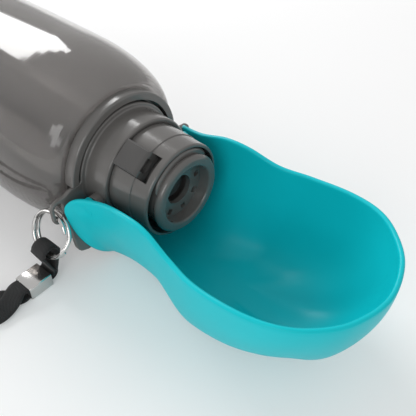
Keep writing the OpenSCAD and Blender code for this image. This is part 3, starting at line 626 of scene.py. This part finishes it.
# Steel: nickel-plated wire, pins and a folded clamp, tumbled bright.
# Fine handling scratches break up the reflections.
SCRATCH = 1.5 * MM
nickel, tree = new_material("bright_nickel_plate")
place = add(tree, "ShaderNodeTexCoord")
stretch = add(tree, "ShaderNodeMapping", None,
              {"Vector": place.outputs["Object"], "Scale": (1.0, 0.15, 1.0)})
marks = add(tree, "ShaderNodeTexNoise", None,
            {"Vector": stretch.outputs[0], "Scale": 1 / SCRATCH, "Detail": 4.0})
gloss = add(tree, "ShaderNodeMapRange", None,
            {"Value": marks.outputs[0], "To Min": 0.1, "To Max": 0.26})
plate = add(tree, "ShaderNodeBsdfPrincipled", None,
            {"Base Color": linear("#d4d3d1"), "Metallic": 1.0, "Roughness": gloss.outputs[0]})
add(tree, "ShaderNodeOutputMaterial", None, {"Surface": plate.outputs[0]})
for node in ("hinge_pin_near", "hinge_pin_far"):
    set_material(frame["nodes"][node], nickel)

# Split ring: spring wire wound almost twice, its ends ground to the wire's width.
# It hangs in the near ear's eye and leans outwards.
KEY_D = 20 * MM
WIRE_D = 1.6 * MM
KEY_TILT = math.radians(25)
TURN_GAP = 0.45 * MM
KEY_SIDE = 2 * MM
KEY_START = 118
KEY_SWEEP = 664
key_r = (KEY_D - WIRE_D) / 2
key_hang = Vector(joints["ring_swing"]["pos_m"])
key_down = Vector((0, -math.sin(KEY_TILT), -math.cos(KEY_TILT)))
key_normal = Vector((0, -math.cos(KEY_TILT), math.sin(KEY_TILT)))
key_centre = key_hang - Vector((KEY_SIDE, 0, 0)) + key_down * math.sqrt(key_r ** 2 - KEY_SIDE ** 2)
path, across, up = [], [], []
RING_STEPS = 200
for k in range(RING_STEPS + 1):
    turned_by = KEY_SWEEP * k / RING_STEPS
    share = min(1, max(0, (turned_by - 312) / 44))
    step = share * share * (3 - 2 * share) - 0.5
    a = math.radians(turned_by + KEY_START)
    out = Vector((math.sin(a), 0, 0)) - math.cos(a) * key_down
    ground = 0.55 + 0.45 * min(1, k / 5, (RING_STEPS - k) / 5)
    path.append(np.array(key_centre + key_r * out + (WIRE_D + TURN_GAP) * step * key_normal))
    across.append(np.array(out) * WIRE_D / 2 * ground)
    up.append(np.array(key_normal) * WIRE_D / 2 * ground)
circle = [(math.cos(a), math.sin(a)) for a in np.linspace(0, math.tau, 16, endpoint=False)]
split_ring = swept("split_ring_wire", path, across, up, circle)
set_material(split_ring, nickel)
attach(split_ring, "ring")
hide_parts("split_ring")

# Webbing: black nylon, woven flat in a ribbed weave, 8 mm wide and 1.25 mm thick.
# A short piece is folded round the split ring and the wrist loop's ends lie outside it.
WEB_W = 8 * MM
WEB_T = 1.25 * MM
WEAVE = 0.9 * MM
nylon, tree = new_material("woven_black_nylon")
threads = add(tree, "ShaderNodeAttribute", {"attribute_name": "weave_place"})
ends = add(tree, "ShaderNodeSeparateXYZ", None, {"Vector": threads.outputs["Vector"]})
runs = []
for coordinate, scale in (("X", math.tau / WEAVE), ("Y", math.tau / (0.75 * WEAVE))):
    turn = add(tree, "ShaderNodeMath", {"operation": "MULTIPLY"},
               {0: ends.outputs[coordinate], 1: scale})
    runs.append(add(tree, "ShaderNodeMath", {"operation": "SINE"}, {0: turn.outputs[0]}))
crossing = add(tree, "ShaderNodeMath", {"operation": "MULTIPLY"},
               {0: runs[0].outputs[0], 1: runs[1].outputs[0]})
height = add(tree, "ShaderNodeMapRange", None,
             {"Value": crossing.outputs[0], "From Min": -1.0, "From Max": 1.0})
# Painted shade and painted highlight: the weave's hollows are painted darker and its raised crowns
# lighter.
tint = add(tree, "ShaderNodeMix", {"data_type": "RGBA"},
           {"Factor": height.outputs[0], 6: linear("#080808"), 7: linear("#2c2c2d")})
relief = add(tree, "ShaderNodeBump", None,
             {"Height": height.outputs[0], "Strength": 0.8, "Distance": 0.35 * MM})
cloth = add(tree, "ShaderNodeBsdfPrincipled", None,
            {"Base Color": tint.outputs[2], "Roughness": 0.75, "Sheen Weight": 0.15,
             "Sheen Roughness": 0.4, "Normal": relief.outputs[0]})
add(tree, "ShaderNodeOutputMaterial", None, {"Surface": cloth.outputs[0]})


def webbing(name, path, across, thickness_way):
    """Woven band along the path, with rounded selvedges and its thread places stored."""
    outline = [(-0.5, -0.22), (-0.46, -0.42), (-0.3, -0.5), (0, -0.5), (0.3, -0.5), (0.46, -0.42),
               (0.5, -0.22), (0.5, 0.22), (0.46, 0.42), (0.3, 0.5), (0, 0.5), (-0.3, 0.5),
               (-0.46, 0.42), (-0.5, 0.22)]
    points, places = [], []
    travel = 0.0
    for k, (p, a, t) in enumerate(zip(path, across, thickness_way)):
        if k:
            travel += float(np.linalg.norm(p - path[k - 1]))
        for x, y in outline:
            points.append(p + a * x * WEB_W + t * y * WEB_T)
            places.append((travel, x * WEB_W, y * WEB_T))
    faces = skin_faces(len(path), len(outline))
    mesh = bpy.data.meshes.new(name)
    mesh.from_pydata([tuple(p) for p in points], [], faces)
    mesh.attributes.new("weave_place", "FLOAT_VECTOR", "POINT").data.foreach_set(
        "vector", np.array(places).ravel())
    mesh.shade_smooth()
    made = bpy.data.objects.new(name, mesh)
    bpy.context.scene.collection.objects.link(made)
    set_material(made, nylon)
    return made


# Folded piece: round the ring, bent down to the ground and out into the clamp.
FOLD_R = 3 * MM
EYE_RISE = 0.65 * MM
BEND_R = 2.6 * MM
CLAMP_T = 0.6 * MM
CLAMP_LEN = 10.4 * MM
STRAP_SIDE = 1.2 * MM
strap_x = key_centre.x - STRAP_SIDE
eye = key_centre + (key_r - EYE_RISE) * key_down
clamp_low, clamp_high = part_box("strap_clamp")
clamp_z = (clamp_low.z + clamp_high.z) / 2
bend_drop = eye.z - clamp_z - BEND_R
clamp_out_y = clamp_low.y


def fold_point(out, rise):
    return np.array((strap_x, eye.y - out, eye.z + rise))


half_t = WEB_T / 2
clamp_out = eye.y - clamp_out_y
outer_side = ([(clamp_out, -bend_drop - BEND_R + half_t)]
              + arc(BEND_R, -bend_drop, BEND_R - half_t, 270, 180, 8)
              + arc(0, 0, FOLD_R + half_t, 0, 180, 20)
              + arc(BEND_R, -bend_drop, BEND_R + half_t, 180, 270, 8)
              + [(clamp_out, -bend_drop - BEND_R - half_t)])
spare = [outer_side[0]] + outer_side + [outer_side[-1]]
fold = smooth_curve([np.array((x, y, 0.0)) for x, y in spare], 4)
path = [fold_point(x, y) for x, y, _ in fold]
tangents = np.gradient(np.array(path), axis=0)
tangents /= np.linalg.norm(tangents, axis=1)[:, None]
sideways = [np.array((1.0, 0, 0))] * len(path)
strap_eye = webbing("strap_fold", path, sideways, [np.cross(t, (1, 0, 0)) for t in tangents])
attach(strap_eye, "strap")
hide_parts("strap_eye")

# Wrist strap: the loop's two ends lie outside the fold in the clamp, twist on edge and run
# along the ground. Route in millimetres from the middle of the clamp's outer end.
LAYER_Z = 1.5 * WEB_T + 0.04 * MM
LOOP_POINTS = [(1.4, -8), (2, -14), (-1, -22), (-10, -29), (-22, -32), (-38, -33.5), (-56, -34),
               (-73, -33), (-84, -28.5), (-88.5, -20), (-84, -11.5), (-73, -7.5), (-55, -8),
               (-38, -11.5), (-24, -16), (-13, -17.5), (-5.5, -13.5), (-1.6, -8)]
ROUTE_STEPS = 12
WEB_LIFT = 0.1 * MM


def clamp_point(share, z):
    return np.array((strap_x, clamp_out_y + (1 - share) * CLAMP_LEN, clamp_z + z))


route = ([clamp_point(share, LAYER_Z) for share in (0.03, 0.5, 1, 1.3)]
         + [clamp_point(1, 0) + np.array((x, y, 0)) * MM for x, y in LOOP_POINTS]
         + [clamp_point(share, -LAYER_Z) for share in (1.3, 1, 0.5, 0.03)])
spare = [2 * route[0] - route[1]] + route + [2 * route[-1] - route[-2]]
path = smooth_curve(spare, ROUTE_STEPS)
count = len(path)


def ease(share):
    share = min(1, max(0, share))
    return share * share * (3 - 2 * share)


sideways, thickness_way = [], []
tangents = np.gradient(path, axis=0)
for k in range(count):
    twist = math.radians(90 * ease((k - 3 * ROUTE_STEPS) / (5 * ROUTE_STEPS)) + 90
                         - 90 * ease((count - 1 - 3 * ROUTE_STEPS - k) / (5 * ROUTE_STEPS)))
    foot = WEB_LIFT + WEB_W / 2 * math.sin(twist) + WEB_T / 2 * abs(math.cos(twist))
    path[k][2] = max(path[k][2], foot)
    t = tangents[k] / np.linalg.norm(tangents[k])
    level_way = np.cross(t, (0, 0, 1))
    level_way /= np.linalg.norm(level_way)
    across_way = math.cos(twist) * level_way + math.sin(twist) * np.cross(level_way, t)
    sideways.append(across_way)
    thickness_way.append(np.cross(t, across_way))
wrist_strap = webbing("wrist_loop", list(path), sideways, thickness_way)
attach(wrist_strap, "strap")
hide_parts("wrist_strap")

# Clamp: a strip of nickel-plated steel folded round the four layers and pressed flat.
# Its edges are rounded by the die.
CLAMP_EDGE = 0.5 * MM
low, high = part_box("strap_clamp")
half_w, half_h = (high.x - low.x) / 2, (high.z - low.z) / 2
shell = []
for inset in (0, CLAMP_T):
    w, h = half_w - inset, half_h - inset
    r = max(CLAMP_EDGE - inset, 0.05 * MM) + 0.2 * MM
    shell.append([(x * (w - r) + r * math.cos(a), z * (h - r) + r * math.sin(a))
                  for x, z, start in ((1, 1, 0), (-1, 1, 90), (-1, -1, 180), (1, -1, 270))
                  for a in np.radians(np.linspace(start, start + 90, 5))])
middle = (low + high) / 2
EDGE_ROUND = 0.18 * MM
rows = [(low.y, EDGE_ROUND), (low.y + EDGE_ROUND, 0), (high.y - EDGE_ROUND, 0),
        (high.y, EDGE_ROUND)]
points = []
for y, pull in rows:
    points += [(middle.x + x * (1 - pull / half_w), y, middle.z + z * (1 - pull / half_h))
               for x, z in shell[0]]
for y, pull in rows[::-1]:
    points += [(middle.x + x * (1 + pull / half_w), y, middle.z + z * (1 + pull / half_h))
               for x, z in shell[1]]
n = len(shell[0])
turns = 2 * len(rows)
faces = [(r * n + k, r * n + (k + 1) % n, (r + 1) % turns * n + (k + 1) % n,
          (r + 1) % turns * n + k) for r in range(turns) for k in range(n)]
clamp = new_object("strap_clamp_sleeve", points, faces)
set_material(clamp, nickel)
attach(clamp, "strap")
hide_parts("strap_clamp")

# Nozzle ridge: a short lead-in thread on the barrel behind the lip.
# It runs over a little more than a third of a turn.
RIDGE_BACK = 5 * MM
RIDGE_LEAD = 5 * MM
RIDGE_START = 20
RIDGE_TURNS = 0.37
RIDGE_ROOT_R = 14.7 * MM
RIDGE_RISE = 2.6 * MM
RIDGE_W = 1.8 * MM
ridge = helix_ridge("nozzle_ridge", lip_x - RIDGE_BACK, RIDGE_LEAD, RIDGE_START, RIDGE_TURNS,
                    RIDGE_ROOT_R, RIDGE_RISE, RIDGE_W)
set_material(ridge, warm_abs)
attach(ridge, "nozzle")
